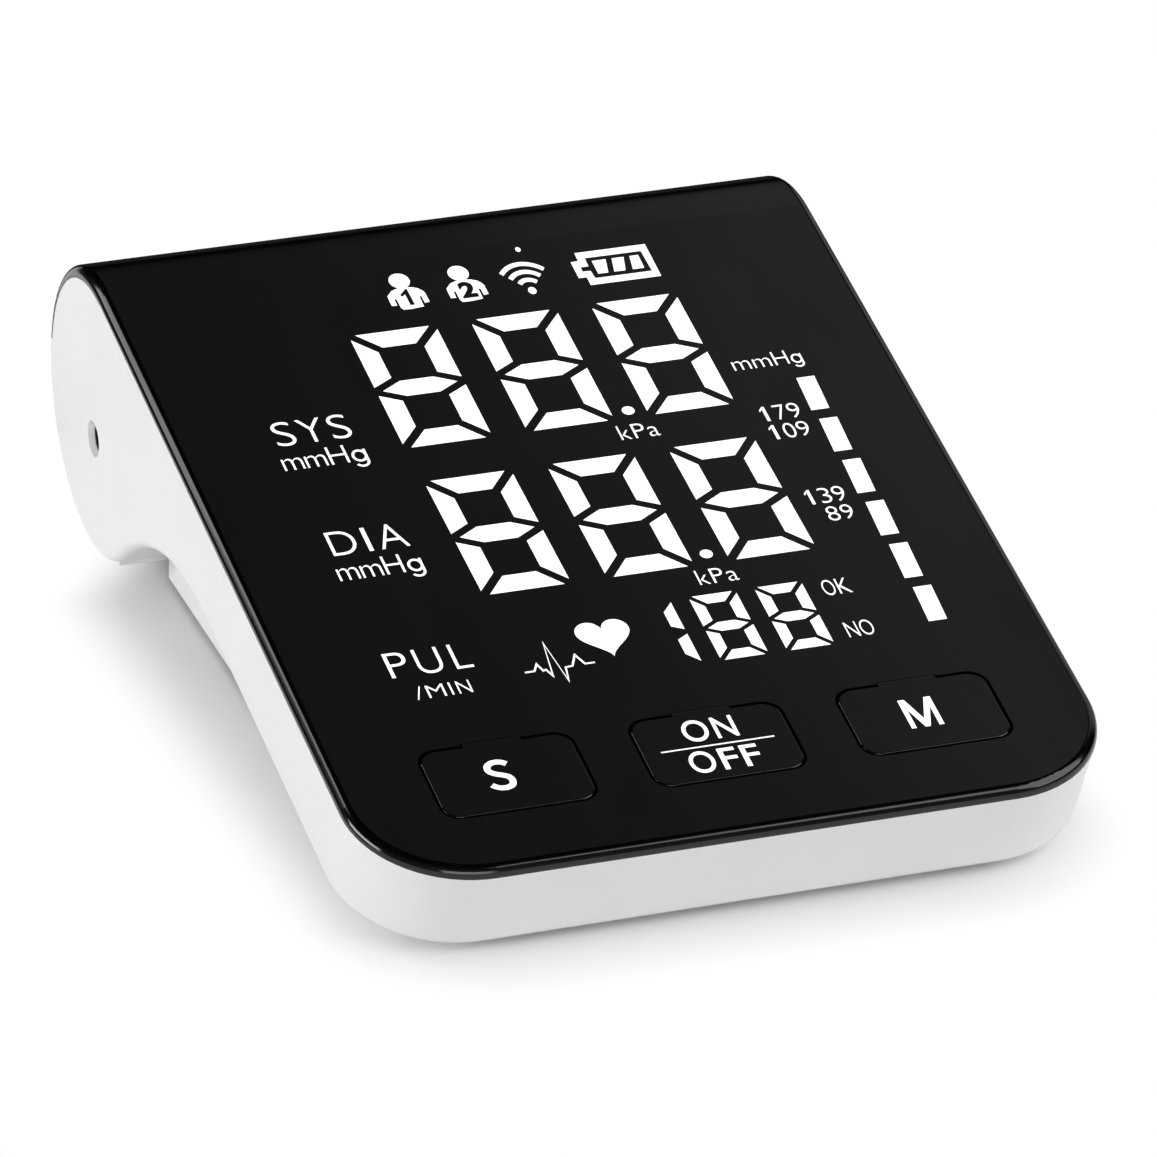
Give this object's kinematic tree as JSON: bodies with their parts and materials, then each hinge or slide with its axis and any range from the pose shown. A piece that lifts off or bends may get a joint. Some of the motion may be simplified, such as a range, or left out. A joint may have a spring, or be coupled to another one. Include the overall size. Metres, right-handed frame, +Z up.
{
  "type": "digital blood pressure monitor",
  "caption": "Wedge-shaped digital blood pressure monitor with a sloped black display panel, flap keys, a round barrel along its back, a cuff air port and a battery door in its base.",
  "frame": {"origin": "middle of the bounding box on the ground plane under the foot pads", "axes": "+X to the user's right, +Y away from the user towards the barrel, +Z up"},
  "size_m": [0.1, 0.1425, 0.0408],
  "materials": {
    "white_case": "smooth white moulded plastic",
    "white_base": "fine-grained white moulded plastic",
    "white_door": "fine-grained white moulded plastic",
    "black_panel": "polished smoked black plastic",
    "black_keys": "polished smoked black plastic",
    "grey_socket": "light grey moulded plastic",
    "foot_rubber": "soft pale rubber",
    "sleeve_rubber": "soft black rubber",
    "soft_tube": "milky soft tube",
    "board_laminate": "green varnished laminate",
    "reflector_white": "matt white plastic",
    "diffuser_film": "milky film",
    "light_dice": "pale yellow resin",
    "dark_component": "matt black resin",
    "plunger_plastic": "off-white plastic",
    "air_plastic": "grey moulded plastic",
    "valve_can": "plated steel",
    "pump_plastic": "black moulded plastic",
    "motor_can": "plated drawn steel",
    "cell_wrap": "plain printed wrap with bare metal ends",
    "contact_metal": "nickel plated",
    "screw_steel": "zinc plated",
    "inlet_metal": "nickel plated"
  },
  "bodies": {
    "case": {"main_case": "white_case", "bottom_cover": "white_base", "front_panel": "black_panel", "air_socket": "grey_socket", "foot_pads": "foot_rubber", "pump_sleeves": "sleeve_rubber", "socket_tube": "soft_tube", "pump_tube": "soft_tube", "valve_tube": "soft_tube", "sensor_tube": "soft_tube", "main_board": "board_laminate", "power_board": "board_laminate", "display_reflector": "reflector_white", "display_diffuser": "diffuser_film", "display_lights": "light_dice", "control_chip": "dark_component", "buzzer": "dark_component", "setting_switch": "dark_component", "power_switch": "dark_component", "memory_switch": "dark_component", "air_manifold": "air_plastic", "pressure_sensor": "air_plastic", "exhaust_valve": "valve_can", "pump_head": "pump_plastic", "pump_motor": "motor_can", "battery_cells": "cell_wrap", "battery_springs": "contact_metal", "battery_plates": "contact_metal", "board_screws": "screw_steel", "case_screws": "screw_steel", "power_socket": "inlet_metal"},
    "setting_key": {"setting_key": "black_keys"},
    "setting_plunger": {"setting_plunger": "plunger_plastic"},
    "power_key": {"power_key": "black_keys"},
    "power_plunger": {"power_plunger": "plunger_plastic"},
    "memory_key": {"memory_key": "black_keys"},
    "memory_plunger": {"memory_plunger": "plunger_plastic"},
    "battery_door": {"battery_door": "white_door"}
  },
  "joints": [
    {"name": "setting_key_press", "type": "hinge", "parent": "case", "child": "setting_key", "pos_m": [-0.0278, -0.04852, 0.01883], "axis": [1, 0, 0], "range_deg": [0, 2.5]},
    {"name": "setting_plunger_slide", "type": "slide", "parent": "case", "child": "setting_plunger", "axis": [0, 0.2123, -0.9772], "range_m": [0, 0.00029], "stiffness_N_per_m": 1000},
    {"name": "power_key_press", "type": "hinge", "parent": "case", "child": "power_key", "pos_m": [0, -0.04852, 0.01883], "axis": [1, 0, 0], "range_deg": [0, 2.5]},
    {"name": "power_plunger_slide", "type": "slide", "parent": "case", "child": "power_plunger", "axis": [0, 0.2123, -0.9772], "range_m": [0, 0.00029], "stiffness_N_per_m": 1000},
    {"name": "memory_key_press", "type": "hinge", "parent": "case", "child": "memory_key", "pos_m": [0.0278, -0.04852, 0.01883], "axis": [1, 0, 0], "range_deg": [0, 2.5]},
    {"name": "memory_plunger_slide", "type": "slide", "parent": "case", "child": "memory_plunger", "axis": [0, 0.2123, -0.9772], "range_m": [0, 0.00029], "stiffness_N_per_m": 1000},
    {"name": "battery_door_swing", "type": "hinge", "parent": "case", "child": "battery_door", "pos_m": [0.006, -0.01968, 0.0011], "axis": [-1, 0, 0], "range_deg": [0, 60]}
  ],
  "couplings": [
    {"joint": "setting_key_press", "follows": "setting_plunger_slide", "rad_per_m": 148.15},
    {"joint": "power_key_press", "follows": "power_plunger_slide", "rad_per_m": 148.15},
    {"joint": "memory_key_press", "follows": "memory_plunger_slide", "rad_per_m": 148.15}
  ]
}
